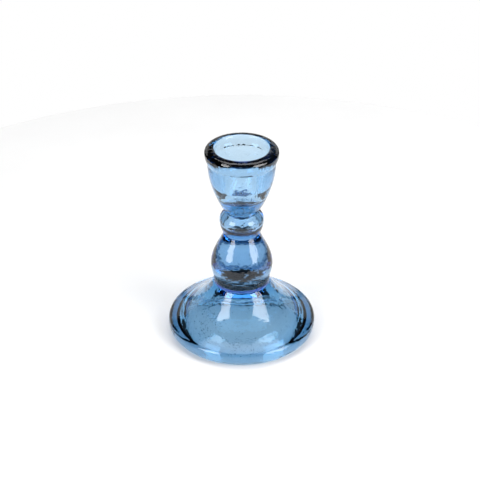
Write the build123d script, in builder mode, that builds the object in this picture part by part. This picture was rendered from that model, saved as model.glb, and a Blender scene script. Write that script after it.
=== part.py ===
from build123d import *

import os
from math import cos, radians, sin

# A glass candlestick: a flared hollow foot, a pear knop, a bead knop and a candle cup.
# The four masses of glass are formed one by one and fused while hot, face to face, at three necks.
# The axis is Z, the origin is the centre of the ring that the foot stands on, and sizes are in millimetres.
# Each outline is drawn in the XZ plane, with the radius along X, and turned about the axis.

os.makedirs("parts", exist_ok=True)

# The foot: a flare with a thick rounded edge, hollow underneath, on a flat ring.
foot_diameter = 91.0
foot_height = 34.6
foot_heel_radius = 5.4
foot_edge_band = 1.4
foot_shoulder_radius = 3.2
foot_shoulder_slope = 24.0
foot_ring_width = 1.6
foot_ring_round = 1.0
foot_hollow_depth = 26.3
foot_crown_radius = 11.0
foot_crown_drop = 1.7
foot_waist_radius = 22.0
foot_waist_height = 16.0
foot_mouth_lean = 70.0
foot_flare_step = 0.95
foot_neck_fillet = 1.5

# The pear knop: a wide belly low down, drawn in to a cone above it.
pear_height = 33.6
pear_belly_swell = 1.9
pear_belly_rise = 12.2
pear_cone_lean = 22.0

# The bead knop: a ring of glass, fuller above than below.
bead_height = 14.4
bead_radius = 13.4
bead_belly_rise = 8.9

# The candle cup: a tapered socket with a thick rolled lip.
cup_height = 41.9
cup_wall_radius = 20.3
cup_wall_height = 33.2
cup_wall_bulge = 2.4
cup_lip_radius = 21.8
cup_lip_round = 3.0
cup_mouth_radius = 15.8
cup_mouth_round = 1.3
socket_depth = 31.5
seat_depth = 8.0
seat_round = 2.5
candle_diameter = 22.0
candle_clearance = 0.15

# The fused necks: two masses meet on a flat disc of each of these radii.
foot_neck_radius = 17.05
pear_neck_radius = 10.8
cup_neck_radius = 9.6

# Heights and radii that follow from the sizes above.
foot_radius = foot_diameter / 2
foot_flare_top_radius = foot_neck_radius + foot_flare_step
pear_belly_radius = foot_neck_radius + pear_belly_swell
foot_joint = foot_height
pear_joint = foot_joint + pear_height
cup_joint = pear_joint + bead_height
total_height = cup_joint + cup_height
socket_floor = total_height - socket_depth
seat_top = socket_floor + seat_depth
seat_radius = candle_diameter / 2 + candle_clearance


# The foot stands on a narrow ring. Its heel and shoulder are round, the flare runs up to the neck, and
# a small fillet turns it upright there. The hollow is a bell: a nearly flat crown, a waist and a flared
# mouth that leans outwards to the rounded inner edge of the ring.
ring_outer = foot_radius - foot_heel_radius
ring_inner = ring_outer - foot_ring_width
shoulder_z = foot_heel_radius + foot_edge_band
hollow_edge = ring_inner - foot_ring_round
with BuildPart() as foot:
    with BuildSketch(Plane.XZ):
        with BuildLine():
            Line((ring_inner, 0), (ring_outer, 0))
            CenterArc((ring_outer, foot_heel_radius), foot_heel_radius, -90, 90)
            Line((foot_radius, foot_heel_radius), (foot_radius, shoulder_z))
            shoulder = CenterArc(
                (foot_radius - foot_shoulder_radius, shoulder_z),
                foot_shoulder_radius,
                0,
                90 - foot_shoulder_slope,
            )
            flare_top = (foot_flare_top_radius, foot_joint - foot_neck_fillet)
            flare = TangentArc(shoulder @ 1, flare_top, tangent=shoulder % 1)
            Spline(flare_top, (foot_neck_radius, foot_joint), tangents=(flare % 1, (0, 1)))
            Line((foot_neck_radius, foot_joint), (0, foot_joint))
            Line((0, foot_joint), (0, foot_hollow_depth))
            lean = radians(foot_mouth_lean)
            Spline(
                (0, foot_hollow_depth),
                (foot_crown_radius, foot_hollow_depth - foot_crown_drop),
                (foot_waist_radius, foot_waist_height),
                (hollow_edge, foot_ring_round),
                tangents=((1, 0), (cos(lean), -sin(lean))),
            )
            CenterArc((ring_inner, foot_ring_round), foot_ring_round, 180, 90)
        make_face()
    revolve(axis=Axis.Z)
foot.part.label = "foot"
export_step(foot.part, "parts/foot.step")

# The pear knop leaves the foot's neck upright, swells to its belly and narrows as a cone to the bead.
belly = (pear_belly_radius, foot_joint + pear_belly_rise)
with BuildPart() as pear_knop:
    with BuildSketch(Plane.XZ):
        with BuildLine():
            Line((0, foot_joint), (foot_neck_radius, foot_joint))
            Spline((foot_neck_radius, foot_joint), belly, tangents=((0, 1), (0, 1)))
            cone = radians(pear_cone_lean)
            Spline(belly, (pear_neck_radius, pear_joint), tangents=((0, 1), (-sin(cone), cos(cone))))
            Line((pear_neck_radius, pear_joint), (0, pear_joint))
            Line((0, pear_joint), (0, foot_joint))
        make_face()
    revolve(axis=Axis.Z)
pear_knop.part.label = "pear_knop"
export_step(pear_knop.part, "parts/pear_knop.step")

# The bead knop is widest at its belly, where both of its arcs are upright.
bead_belly = (bead_radius, pear_joint + bead_belly_rise)
with BuildPart() as bead_knop:
    with BuildSketch(Plane.XZ):
        with BuildLine():
            Line((0, pear_joint), (pear_neck_radius, pear_joint))
            TangentArc(bead_belly, (pear_neck_radius, pear_joint), tangent=(0, -1))
            TangentArc(bead_belly, (cup_neck_radius, cup_joint), tangent=(0, 1))
            Line((cup_neck_radius, cup_joint), (0, cup_joint))
            Line((0, cup_joint), (0, pear_joint))
        make_face()
    revolve(axis=Axis.Z)
bead_knop.part.label = "bead_knop"
export_step(bead_knop.part, "parts/bead_knop.step")

# The cup's wall bows outwards to the underside of the lip. The socket has a flat floor with a round
# corner, a straight seat for the candle, and a taper that opens to the mouth.
wall_top = (cup_wall_radius, cup_joint + cup_wall_height)
with BuildPart() as candle_cup:
    with BuildSketch(Plane.XZ):
        with BuildLine():
            Line((0, cup_joint), (cup_neck_radius, cup_joint))
            SagittaArc((cup_neck_radius, cup_joint), wall_top, -cup_wall_bulge)
            lip_side = total_height - cup_lip_round
            TangentArc((cup_lip_radius, lip_side), wall_top, tangent=(0, -1))
            lip_crest = cup_lip_radius - cup_lip_round
            mouth_crest = cup_mouth_radius + cup_mouth_round
            CenterArc((lip_crest, lip_side), cup_lip_round, 0, 90)
            Line((lip_crest, total_height), (mouth_crest, total_height))
            mouth_side = total_height - cup_mouth_round
            CenterArc((mouth_crest, mouth_side), cup_mouth_round, 90, 90)
            Line((cup_mouth_radius, mouth_side), (seat_radius, seat_top))
            seat_foot = socket_floor + seat_round
            Line((seat_radius, seat_top), (seat_radius, seat_foot))
            CenterArc((seat_radius - seat_round, seat_foot), seat_round, 0, -90)
            Line((seat_radius - seat_round, socket_floor), (0, socket_floor))
            Line((0, socket_floor), (0, cup_joint))
        make_face()
    revolve(axis=Axis.Z)
candle_cup.part.label = "candle_cup"
export_step(candle_cup.part, "parts/candle_cup.step")
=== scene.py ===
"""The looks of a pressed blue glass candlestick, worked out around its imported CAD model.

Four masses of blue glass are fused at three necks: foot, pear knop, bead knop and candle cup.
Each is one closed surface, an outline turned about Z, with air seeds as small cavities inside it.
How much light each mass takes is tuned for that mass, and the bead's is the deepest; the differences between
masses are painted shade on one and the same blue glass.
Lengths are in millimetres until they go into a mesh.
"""

from math import cos, hypot, pi, radians, sin

import bpy
import numpy as np
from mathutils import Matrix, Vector


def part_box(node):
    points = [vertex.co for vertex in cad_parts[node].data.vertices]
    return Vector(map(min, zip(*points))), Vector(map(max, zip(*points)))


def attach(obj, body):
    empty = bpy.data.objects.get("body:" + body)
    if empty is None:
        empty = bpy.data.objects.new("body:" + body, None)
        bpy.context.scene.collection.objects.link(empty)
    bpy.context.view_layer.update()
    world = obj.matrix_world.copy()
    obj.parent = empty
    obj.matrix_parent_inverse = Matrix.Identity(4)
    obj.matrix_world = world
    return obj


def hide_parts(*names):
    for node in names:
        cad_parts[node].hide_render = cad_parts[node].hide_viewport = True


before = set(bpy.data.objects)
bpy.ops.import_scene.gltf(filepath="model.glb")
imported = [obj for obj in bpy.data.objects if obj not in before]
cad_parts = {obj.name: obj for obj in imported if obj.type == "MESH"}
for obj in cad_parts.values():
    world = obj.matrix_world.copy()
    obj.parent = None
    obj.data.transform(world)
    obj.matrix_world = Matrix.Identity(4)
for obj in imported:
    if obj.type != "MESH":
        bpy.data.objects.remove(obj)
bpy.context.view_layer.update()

MM = 0.001


# ---------------------------------------------------------------- sizes, from the frame where it has them

def widest_and_top(node):
    """The largest radius of a CAD node and the height of its top, in millimetres."""
    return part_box(node)[1].x / MM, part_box(node)[1].z / MM


FOOT_RADIUS, FOOT_JOINT = widest_and_top("foot")
PEAR_RADIUS, PEAR_JOINT = widest_and_top("pear_knop")
BEAD_RADIUS, CUP_JOINT = widest_and_top("bead_knop")
LIP_RADIUS, TOTAL_HEIGHT = widest_and_top("candle_cup")

HEEL_RADIUS = 5.4
EDGE_BAND = 1.4
SHOULDER_RADIUS = 3.2
SHOULDER_SLOPE = 24.0
RING_WIDTH = 1.6
RING_ROUND = 1.0
HOLLOW_DEPTH = 26.3
CROWN_RADIUS = 11.0
CROWN_DROP = 1.7
WAIST_RADIUS = 22.0
WAIST_HEIGHT = 16.0
MOUTH_LEAN = 70.0
FLARE_TOP_RADIUS = 18.0
NECK_FILLET = 1.5
FOOT_NECK_RADIUS = 17.05

PEAR_BELLY_RISE = 12.2
CONE_LEAN = 22.0
PEAR_NECK_RADIUS = 10.8

BEAD_BELLY_RISE = 8.9
CUP_NECK_RADIUS = 9.6

WALL_RADIUS = 20.3
WALL_HEIGHT = 33.2
WALL_BULGE = 2.4
LIP_ROUND = 3.0
MOUTH_RADIUS = 15.8
MOUTH_ROUND = 1.3
SOCKET_DEPTH = 31.5
SEAT_DEPTH = 8.0
SEAT_RADIUS = 11.15
SEAT_ROUND = 2.5

NO_JOINT = -1.0  # a height that no face has, for a piece with no neck on that side
FUSED_GAP = 0.01  # each mass stops this short of the middle of its neck, so that no two faces coincide


# ---------------------------------------------------------------- outlines

def line(start, end, steps=12):
    """Points at even steps from start to end."""
    return np.linspace(start, end, steps)


def arc(centre, radius, start, end, steps=14):
    """Points of a circle about centre, from the start angle to the end angle, in degrees."""
    turn = np.radians(np.linspace(start, end, steps))
    return np.array(centre) + radius * np.stack([np.cos(turn), np.sin(turn)], axis=1)


def bend(start, end, leaving, arriving, steps=34):
    """A cubic from start to end whose ends run along two directions, both as long as the chord."""
    start, end = np.array(start, float), np.array(end, float)
    chord = hypot(*(end - start))
    leaving = np.array(leaving) / hypot(*leaving) * chord
    arriving = np.array(arriving) / hypot(*arriving) * chord
    t = np.linspace(0, 1, steps)[:, None]
    ends = (2 * t**3 - 3 * t**2 + 1) * start + (3 * t**2 - 2 * t**3) * end
    return ends + (t**3 - 2 * t**2 + t) * leaving + (t**3 - t**2) * arriving


def sweep(start, end, leaving, steps=40):
    """The circle's arc that leaves start along a direction and ends at end."""
    start, end = np.array(start, float), np.array(end, float)
    side = np.array([-leaving[1], leaving[0]]) / hypot(*leaving)
    chord = end - start
    radius = chord @ chord / (2 * chord @ side)
    centre = start + side * radius
    first = np.arctan2(*(start - centre)[::-1])
    last = np.arctan2(*(end - centre)[::-1])
    turn = first + np.linspace(0, (last - first + pi) % (2 * pi) - pi, steps)
    return centre + abs(radius) * np.stack([np.cos(turn), np.sin(turn)], axis=1)


def joined(*runs):
    """The runs end to end, without the points that two of them share."""
    points = np.concatenate(runs)
    step = np.hypot(*np.diff(points, axis=0).T)
    return points[np.concatenate([[True], step > 1e-3])]


def foot_outline():
    """From the hollow's crown out to the ring, over the heel and shoulder, and up the flare to the neck."""
    ring_outer = FOOT_RADIUS - HEEL_RADIUS
    ring_inner = ring_outer - RING_WIDTH
    hollow_edge = (ring_inner - RING_ROUND, RING_ROUND)
    crown = (CROWN_RADIUS, HOLLOW_DEPTH - CROWN_DROP)
    waist = (WAIST_RADIUS, WAIST_HEIGHT)
    lean = radians(MOUTH_LEAN)
    off_crown = np.array([0.88, -0.47])
    off_waist = np.array([0.84, -0.54])
    shoulder_z = HEEL_RADIUS + EDGE_BAND
    slope = radians(SHOULDER_SLOPE)
    shoulder = arc((FOOT_RADIUS - SHOULDER_RADIUS, shoulder_z), SHOULDER_RADIUS, 0, 90 - SHOULDER_SLOPE)
    flare_top = (FLARE_TOP_RADIUS, FOOT_JOINT - NECK_FILLET)
    flare = sweep(shoulder[-1], flare_top, (-cos(slope), sin(slope)), 56)
    neck = (FOOT_NECK_RADIUS, FOOT_JOINT)
    return joined(
        bend((0, HOLLOW_DEPTH), crown, (1, 0), off_crown, 20),
        bend(crown, waist, off_crown, off_waist, 20),
        bend(waist, hollow_edge, off_waist, (cos(lean), -sin(lean)), 28),
        arc((ring_inner, RING_ROUND), RING_ROUND, 180, 270, 7),
        line((ring_inner, 0), (ring_outer, 0), 5),
        arc((ring_outer, HEEL_RADIUS), HEEL_RADIUS, -90, 0, 22),
        line((FOOT_RADIUS, HEEL_RADIUS), (FOOT_RADIUS, shoulder_z), 4),
        shoulder,
        flare,
        bend(flare_top, neck, flare[-1] - flare[-2], (0, 1), 8),
        line(neck, (0, FOOT_JOINT), 14),
    )


def pear_outline():
    """Upright at the foot's neck, out to the belly, and drawn in as a cone to the bead's neck."""
    belly = (PEAR_RADIUS, FOOT_JOINT + PEAR_BELLY_RISE)
    cone = radians(CONE_LEAN)
    return joined(
        line((0, FOOT_JOINT), (FOOT_NECK_RADIUS, FOOT_JOINT), 14),
        bend((FOOT_NECK_RADIUS, FOOT_JOINT), belly, (0, 1), (0, 1), 40),
        bend(belly, (PEAR_NECK_RADIUS, PEAR_JOINT), (0, 1), (-sin(cone), cos(cone)), 60),
        line((PEAR_NECK_RADIUS, PEAR_JOINT), (0, PEAR_JOINT), 12),
    )


def bead_outline():
    """Two arcs that meet upright at the bead's widest ring."""
    belly = (BEAD_RADIUS, PEAR_JOINT + BEAD_BELLY_RISE)
    return joined(
        line((0, PEAR_JOINT), (PEAR_NECK_RADIUS, PEAR_JOINT), 12),
        sweep(belly, (PEAR_NECK_RADIUS, PEAR_JOINT), (0, -1), 36)[::-1],
        sweep(belly, (CUP_NECK_RADIUS, CUP_JOINT), (0, 1), 30),
        line((CUP_NECK_RADIUS, CUP_JOINT), (0, CUP_JOINT), 12),
    )


def cup_outline():
    """Up the bowed wall to the lip, over it, and down the socket's taper and seat to its flat floor."""
    wall_foot = np.array([CUP_NECK_RADIUS, CUP_JOINT])
    wall_top = np.array([WALL_RADIUS, CUP_JOINT + WALL_HEIGHT])
    chord = wall_top - wall_foot
    outwards = np.array([chord[1], -chord[0]]) / hypot(*chord)
    t = np.linspace(0, 1, 60)[:, None]
    wall = wall_foot + chord * t + outwards * WALL_BULGE * 4 * t * (1 - t)
    lip_side = (LIP_RADIUS, TOTAL_HEIGHT - LIP_ROUND)
    lip_crest = (LIP_RADIUS - LIP_ROUND, TOTAL_HEIGHT - LIP_ROUND)
    mouth_crest = (MOUTH_RADIUS + MOUTH_ROUND, TOTAL_HEIGHT - MOUTH_ROUND)
    floor_z = TOTAL_HEIGHT - SOCKET_DEPTH
    seat_top = (SEAT_RADIUS, floor_z + SEAT_DEPTH)
    corner = (SEAT_RADIUS - SEAT_ROUND, floor_z + SEAT_ROUND)
    return joined(
        line((0, CUP_JOINT), wall_foot, 12),
        wall,
        sweep(lip_side, wall_top, (0, -1), 12)[::-1],
        arc(lip_crest, LIP_ROUND, 0, 90, 16),
        line((lip_crest[0], TOTAL_HEIGHT), (mouth_crest[0], TOTAL_HEIGHT), 4),
        arc(mouth_crest, MOUTH_ROUND, 90, 180, 10),
        line((MOUTH_RADIUS, mouth_crest[1]), seat_top, 34),
        line(seat_top, (SEAT_RADIUS, corner[1]), 8),
        arc(corner, SEAT_ROUND, 0, -90, 7),
        line((corner[0], floor_z), (0, floor_z), 10),
    )


# ---------------------------------------------------------------- surfaces

AROUND = 192
HAND_WAVE = 0.10  # how far the fire-polished skin sinks below the true round, at most
SEAM_RISE = 0.07  # how proud of the skin the mould's two seams stand
SEAM_TURN = 2 * pi * 162 / AROUND  # the front seam, on the right as seen from the front


def skin_wave(theta, z):
    """How deep the skin sinks: SEAM_RISE and three slow waves of at most HAND_WAVE around and along the axis.

    It comes back up to nothing in a narrow bell curve on the mould's two seams.
    """
    waves = np.sin(3 * theta + z / 9.0) + np.sin(5 * theta - z / 6.0 + 1.0)
    waves = waves + np.sin(2 * theta + z / 4.0 + 2.5)
    off_seam = 1 - np.exp(-(np.sin(theta - SEAM_TURN) / 0.02) ** 2)
    return (SEAM_RISE + HAND_WAVE * (0.5 + waves / 6)) * off_seam


def turned(outline, joint_low, joint_high):
    """An outline turned about Z: radius times cos and sin of the turn, and the height as it is.

    The two ends of the outline lie on the axis and close as poles. The skin sinks by the wave, and
    both faces of a fused neck stop short of it by the fused gap.
    """
    theta = np.linspace(0, 2 * pi, AROUND, endpoint=False)
    ring = outline[1:-1]
    radius, height = np.broadcast_arrays(ring[:, :1], ring[:, 1:])
    radius = radius - skin_wave(theta, height) * np.clip(radius / 4, 0, 1)
    lift = FUSED_GAP * (np.isclose(height, joint_low).astype(float) - np.isclose(height, joint_high))
    level = np.broadcast_to(height + lift, radius.shape)
    rings = np.stack([radius * np.cos(theta), radius * np.sin(theta), level], 2)
    lows, highs = outline[0, 1], outline[-1, 1]
    poles = np.array([[0, 0, lows + FUSED_GAP * np.isclose(lows, joint_low)],
                      [0, 0, highs - FUSED_GAP * np.isclose(highs, joint_high)]])
    verts = np.concatenate([poles[:1], rings.reshape(-1, 3), poles[1:]])
    here = 1 + np.arange((len(ring) - 1) * AROUND).reshape(-1, AROUND)
    beside = np.roll(here, -1, axis=1)
    quads = np.stack([here, beside, beside + AROUND, here + AROUND], 2).reshape(-1, 4)
    first = 1 + np.arange(AROUND)
    last = first + (len(ring) - 1) * AROUND
    low_fan = np.stack([np.zeros(AROUND, int), np.roll(first, -1), first], 1)
    high_fan = np.stack([np.full(AROUND, len(verts) - 1), last, np.roll(last, -1)], 1)
    return verts, [quads, low_fan, high_fan]


SEED_AROUND = 8
SEED_BELTS = 4


def seeds(outline, clusters, rng):
    """Air seeds: small spheres whose faces look inwards, because the glass is outside them.

    A cluster is (how many, middle turn, spread of turn, lowest z, highest z, depths, radii). Each seed
    sits under the outer skin, on a line from the skin towards the axis.
    """
    around, belts = SEED_AROUND, SEED_BELTS
    spin = np.linspace(0, 2 * pi, around, endpoint=False)
    tilt = np.linspace(0, pi, belts + 2)[1:-1]
    rings = np.stack([np.outer(np.sin(tilt), np.cos(spin)), np.outer(np.sin(tilt), np.sin(spin)),
                      np.broadcast_to(np.cos(tilt)[:, None], (belts, around))], 2).reshape(-1, 3)
    ball = np.concatenate([[[0, 0, 1]], rings, [[0, 0, -1]]])
    here = 1 + np.arange((belts - 1) * around).reshape(-1, around)
    beside = np.roll(here, -1, axis=1)
    sides = np.stack([here, beside, beside + around, here + around], 2).reshape(-1, 4)
    first = 1 + np.arange(around)
    last = first + (belts - 1) * around
    caps = np.concatenate([np.stack([np.zeros(around, int), np.roll(first, -1), first], 1),
                           np.stack([np.full(around, len(ball) - 1), last, np.roll(last, -1)], 1)])
    outer = outline[np.argmax(outline[:, 0]):] if outline[0, 1] > outline[:, 1].min() else outline
    rising = outer[np.concatenate([[True], np.diff(np.maximum.accumulate(outer[:, 1])) > 0])]
    places, sizes = [], []
    for count, middle, spread, z_low, z_high, depths, radii in clusters:
        turn = middle + spread * rng.uniform(-1, 1, count) * rng.uniform(0.3, 1, count)
        z = rng.uniform(z_low, z_high, count)
        size = radii[0] + (radii[1] - radii[0]) * rng.uniform(0, 1, count) ** 2.5
        under_skin = rng.uniform(*depths, count) + size + HAND_WAVE + SEAM_RISE
        reach = np.interp(z, rising[:, 1], rising[:, 0]) - under_skin
        places.append(np.stack([reach * np.cos(turn), reach * np.sin(turn), z], 1))
        sizes.append(size)
    places, sizes = np.concatenate(places), np.concatenate(sizes)
    stretch = rng.uniform(0.8, 1.25, (len(sizes), 1, 3))
    verts = (places[:, None] + ball * sizes[:, None, None] * stretch).reshape(-1, 3)
    shift = len(ball) * np.arange(len(sizes))[:, None, None]
    return verts, [(sides + shift).reshape(-1, 4), (caps + shift).reshape(-1, 3)]


def pocket(low, high, radius):
    """A trapped lens of air, a round between two heights whose faces look inwards."""
    tilt = np.linspace(-pi / 2, pi / 2, 40)
    middle, half = (low + high) / 2, (high - low) / 2
    outline = np.stack([radius * np.cos(tilt), middle + half * np.sin(tilt)], 1)
    verts, faces = turned(outline, NO_JOINT, NO_JOINT)
    return verts, [group[:, ::-1] for group in faces]


def piece(name, outline, clusters, air, joint_low, joint_high, glass, rng):
    """One closed glass mass with its seeds and air pocket, in a mesh, marked where it is fused."""
    verts, faces = turned(outline, joint_low, joint_high)
    body_count = len(verts)
    seed_verts, seed_faces = seeds(outline, clusters, rng)
    if air:
        air_verts, air_faces = pocket(*air)
        seed_faces += [group + len(seed_verts) for group in air_faces]
        seed_verts = np.concatenate([seed_verts, air_verts])
    verts = np.concatenate([verts, seed_verts]) * MM
    mesh = bpy.data.meshes.new(name)
    shapes = [f for group in faces for f in group.tolist()]
    shapes += [f for group in seed_faces for f in (group + body_count).tolist()]
    mesh.from_pydata(verts.tolist(), [], shapes)
    mesh.polygons.foreach_set("use_smooth", np.ones(len(shapes), bool))
    mesh.update()
    mesh.set_sharp_from_angle(angle=radians(60))
    middles = np.zeros(len(shapes) * 3, np.float32)
    mesh.polygons.foreach_get("center", middles)
    height = middles.reshape(-1, 3)[:, 2] / MM
    fused = np.zeros(len(shapes), np.float32)
    for joint in (joint_low, joint_high):
        fused[np.abs(height - joint) < 1.5 * FUSED_GAP] = 1
    mark = mesh.attributes.new("fused", "FLOAT", "FACE")
    mark.data.foreach_set("value", fused)
    mesh.materials.append(glass)
    shown = bpy.data.objects.new(name, mesh)
    bpy.context.scene.collection.objects.link(shown)
    return shown


# ---------------------------------------------------------------- materials

def linear(hex_colour):
    """An sRGB hex colour as linear red, green, blue and 1."""
    parts = np.array([int(hex_colour[i:i + 2], 16) for i in (1, 3, 5)]) / 255
    return (*np.where(parts <= 0.04045, parts / 12.92, ((parts + 0.055) / 1.055) ** 2.4).tolist(), 1.0)


def add(tree, kind, settings=None, **links):
    """Adds a node. settings go on its properties or its sockets, links join sockets to outputs."""
    node = tree.nodes.new(kind)
    for key, value in (settings or {}).items():
        if hasattr(node, key):
            setattr(node, key, value)
        else:
            node.inputs[int(key[1:]) if key[0] == "#" else key].default_value = value
    for key, output in links.items():
        slot = int(key[1:]) if key[0] == "i" and key[1:].isdigit() else key.replace("_", " ")
        tree.links.new(output, node.inputs[slot])
    return node


def new_tree(name):
    """A material with an empty node tree, and that tree."""
    material = bpy.data.materials.new(name)
    material.use_nodes = True
    material.node_tree.nodes.clear()
    return material, material.node_tree


PEBBLE = 2.5
PEBBLE_DEPTH = 0.10
SAG = 11.0
SAG_DEPTH = 0.12
GLASS_IOR = 1.52
FUSED_IOR = 1.0001  # inside a fused neck nothing bends or shines


def fire_polished_glass(name, absorption_and_shade, pebble_mm, pebble_depth_mm):
    """Blue soda-lime glass, pressed in an iron mould and fire-polished.

    The eye gets a hard wet shine, a skin that ripples where it met the cooler iron, and a blue that
    deepens with thickness. The absorption argument is what a metre of it takes off red, green and blue;
    its blue is the glass's own, and how it differs from mass to mass is painted shade.
    """
    material, tree = new_tree(name)
    place = add(tree, "ShaderNodeTexCoord").outputs["Object"]
    mark = add(tree, "ShaderNodeAttribute", {"attribute_name": "fused"}).outputs["Fac"]
    # One noise cell spans 1 / scale of a metre.
    pebble = add(tree, "ShaderNodeTexNoise", {"Scale": 1 / (pebble_mm * MM), "Detail": 1.0, "Roughness": 0.4},
                 Vector=place)
    sag = add(tree, "ShaderNodeTexNoise", {"Scale": 1 / (SAG * MM), "Detail": 0.0}, Vector=place)
    slow = add(tree, "ShaderNodeBump", {"Strength": 1.0, "Distance": SAG_DEPTH * MM},
               Height=sag.outputs["Fac"])
    fine = add(tree, "ShaderNodeBump", {"Strength": 1.0, "Distance": pebble_depth_mm * MM},
               Height=pebble.outputs["Fac"], Normal=slow.outputs["Normal"])
    haze = add(tree, "ShaderNodeMapRange", {"From Min": 0.45, "From Max": 0.8, "To Min": 0.0, "To Max": 0.05},
               Value=pebble.outputs["Fac"])
    ior = add(tree, "ShaderNodeMapRange", {"To Min": GLASS_IOR, "To Max": FUSED_IOR}, Value=mark)
    skin = add(tree, "ShaderNodeBsdfPrincipled", {"Transmission Weight": 1.0}, IOR=ior.outputs["Result"],
               Roughness=haze.outputs["Result"], Normal=fine.outputs["Normal"])
    skin.inputs["Base Color"].default_value = linear("#ffffff")
    # The absorption is the glass's own blue; how strong it is differs from mass to mass as painted shade.
    density = max(absorption_and_shade)
    depth = add(tree, "ShaderNodeVolumeAbsorption")
    depth.inputs["Density"].default_value = density
    depth.inputs["Color"].default_value = (*[1 - t / density for t in absorption_and_shade], 1)
    add(tree, "ShaderNodeOutputMaterial", Surface=skin.outputs["BSDF"], Volume=depth.outputs["Volume"])
    return material


def matt_table(name):
    """A pale table top in smooth matt paint, a little uneven in tone."""
    material, tree = new_tree(name)
    place = add(tree, "ShaderNodeTexCoord").outputs["Object"]
    cloud = add(tree, "ShaderNodeTexNoise", {"Scale": 1 / 0.06, "Detail": 2.0}, Vector=place)
    tone = add(tree, "ShaderNodeMix", {"data_type": "RGBA", "#6": linear("#f2f2f2"), "#7": linear("#f9f9f9")},
               Factor=cloud.outputs["Fac"])
    top = add(tree, "ShaderNodeBsdfPrincipled", {"Roughness": 0.6, "Specular IOR Level": 0.2})
    tree.links.new(tone.outputs[2], top.inputs["Base Color"])
    add(tree, "ShaderNodeOutputMaterial", Surface=top.outputs["BSDF"])
    return material


# ---------------------------------------------------------------- camera, light and table

CAMERA_ELEVATION = 31.75
CAMERA_DISTANCE = 0.7268
AIM_HEIGHT = 0.0621
LENS = 90.56
SHIFT = -0.00354
TABLE_RADIUS = 0.34


def camera():
    data = bpy.data.cameras.new("camera")
    data.lens = LENS
    data.sensor_width = 36.0
    data.shift_x = SHIFT
    data.clip_start = 0.01
    seen_from = bpy.data.objects.new("camera", data)
    up = radians(CAMERA_ELEVATION)
    seen_from.location = (0, -CAMERA_DISTANCE * cos(up), AIM_HEIGHT + CAMERA_DISTANCE * sin(up))
    seen_from.rotation_euler = (pi / 2 - up, 0, 0)
    bpy.context.scene.collection.objects.link(seen_from)
    bpy.context.scene.camera = seen_from


def softbox(name, place, width, height, radiance, aim=(0, 0, 0.05)):
    """A rectangular light of even radiance that faces aim and isn't seen directly."""
    data = bpy.data.lights.new(name, "AREA")
    data.shape = "RECTANGLE"
    data.size = width
    data.size_y = height
    data.energy = radiance * pi * width * height
    lamp = bpy.data.objects.new(name, data)
    lamp.location = place
    lamp.rotation_euler = (Vector(aim) - Vector(place)).to_track_quat("-Z", "Y").to_euler()
    lamp.visible_camera = False
    bpy.context.scene.collection.objects.link(lamp)
    return lamp


def studio():
    """White to the eye and dark to the glass: two softboxes in front, one above, a lit backdrop behind."""
    world = bpy.data.worlds.new("studio")
    world.use_nodes = True
    tree = world.node_tree
    tree.nodes.clear()
    eye = add(tree, "ShaderNodeLightPath").outputs["Is Camera Ray"]
    dim = add(tree, "ShaderNodeBackground", {"Strength": 0.03})
    white = add(tree, "ShaderNodeBackground", {"Strength": 1.0})
    dim.inputs["Color"].default_value = linear("#ffffff")
    white.inputs["Color"].default_value = linear("#ffffff")
    both = add(tree, "ShaderNodeMixShader", i0=eye, i1=dim.outputs[0], i2=white.outputs[0])
    add(tree, "ShaderNodeOutputWorld", Surface=both.outputs[0])
    bpy.context.scene.world = world
    softbox("softbox_left", (-0.55, -0.45, 0.42), 0.35, 0.5, 8.0)
    softbox("softbox_right", (0.62, -0.40, 0.42), 0.5, 0.55, 8.0)
    softbox("softbox_above", (0, 0.25, 1.1), 1.2, 0.9, 2.6)
    softbox("backdrop", (0, 0.9, 0.3), 2.4, 0.5, 0.7)
    scene = bpy.context.scene
    scene.view_settings.view_transform = "Standard"
    # Paths that bounce on inside the glass are cut off here, which is most of why the lip and the
    # foot's sides go near black. With more bounces they turn blue.
    scene.cycles.max_bounces = 11
    scene.cycles.transmission_bounces = 7
    scene.cycles.glossy_bounces = 2


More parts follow.
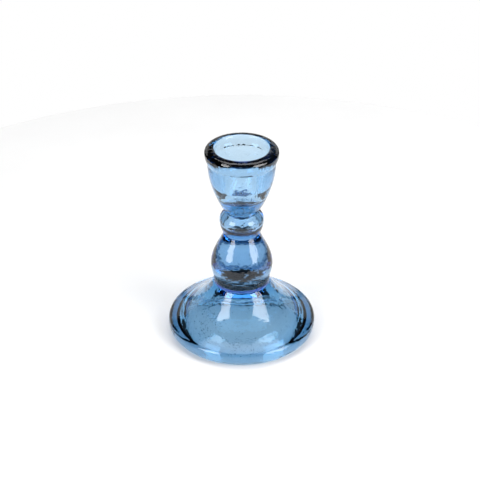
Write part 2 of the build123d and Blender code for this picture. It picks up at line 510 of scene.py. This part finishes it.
def table():
    """A level disc: a ring of points at one radius about a middle point."""
    turn = np.linspace(0, 2 * pi, 128, endpoint=False)
    level = -0.00003
    rim = np.stack([TABLE_RADIUS * np.cos(turn), TABLE_RADIUS * np.sin(turn), np.full(128, level)], 1)
    verts = np.concatenate([[[0, 0, level]], rim])
    first = 1 + np.arange(128)
    fan = np.stack([np.zeros(128, int), first, np.roll(first, -1)], 1)
    mesh = bpy.data.meshes.new("table_top")
    mesh.from_pydata(verts.tolist(), [], fan.tolist())
    mesh.materials.append(matt_table("matt_painted_table"))
    top = bpy.data.objects.new("table_top", mesh)
    bpy.context.scene.collection.objects.link(top)


# ---------------------------------------------------------------- the candlestick

FRONT = -pi / 2  # the turn that faces the camera
PEAR_LENS = (35.0, 35.8, 15.0)  # trapped air: its lowest and highest z and its radius
BEAD_TEAR = (69.9, 80.2, 9.8)


def candlestick():
    rng = np.random.default_rng(7)
    # The absorption in each row is partly the glass's own blue and partly painted shade: one glass, made
    # darkest in the bead.
    parts = [
        ("foot", "foot_glass", foot_outline(), NO_JOINT, FOOT_JOINT, (78, 32, 5), None, [
            (260, FRONT - 0.75, 0.4, 10.0, 22.0, (0.3, 2.5), (0.08, 0.30)),
            (220, FRONT, 0.5, 8.0, 14.0, (0.3, 2.5), (0.08, 0.26)),
            (500, 0.0, pi, 8.0, 26.0, (0.3, 2.5), (0.08, 0.30)),
        ]),
        ("pear_knop", "pear_glass", pear_outline(), FOOT_JOINT, PEAR_JOINT, (48, 27, 12), PEAR_LENS, [
            (160, 0.0, pi, 40.0, 66.0, (0.3, 4.0), (0.1, 0.35)),
        ]),
        ("bead_knop", "bead_glass", bead_outline(), PEAR_JOINT, CUP_JOINT, (130, 66, 20), BEAD_TEAR, [
            (160, 0.0, pi, 74.0, 81.5, (0.3, 1.6), (0.10, 0.35)),
        ]),
        ("candle_cup", "cup_glass", cup_outline(), CUP_JOINT, NO_JOINT, (86, 42, 13), None, [
            (420, 0.0, pi, 83.5, 91.5, (0.3, 6.0), (0.12, 0.38)),
            (150, 0.0, pi, 93.0, 118.0, (0.3, 1.4), (0.1, 0.28)),
        ]),
    ]
    for node, slot, outline, low, high, absorption_and_shade, air, clusters in parts:
        glass = fire_polished_glass("fire_polished_" + slot, absorption_and_shade, PEBBLE, PEBBLE_DEPTH)
        shown = piece(node + "_glass", outline, clusters, air, low, high, glass, rng)
        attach(shown, "root")
        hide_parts(node)


camera()
studio()
table()
candlestick()
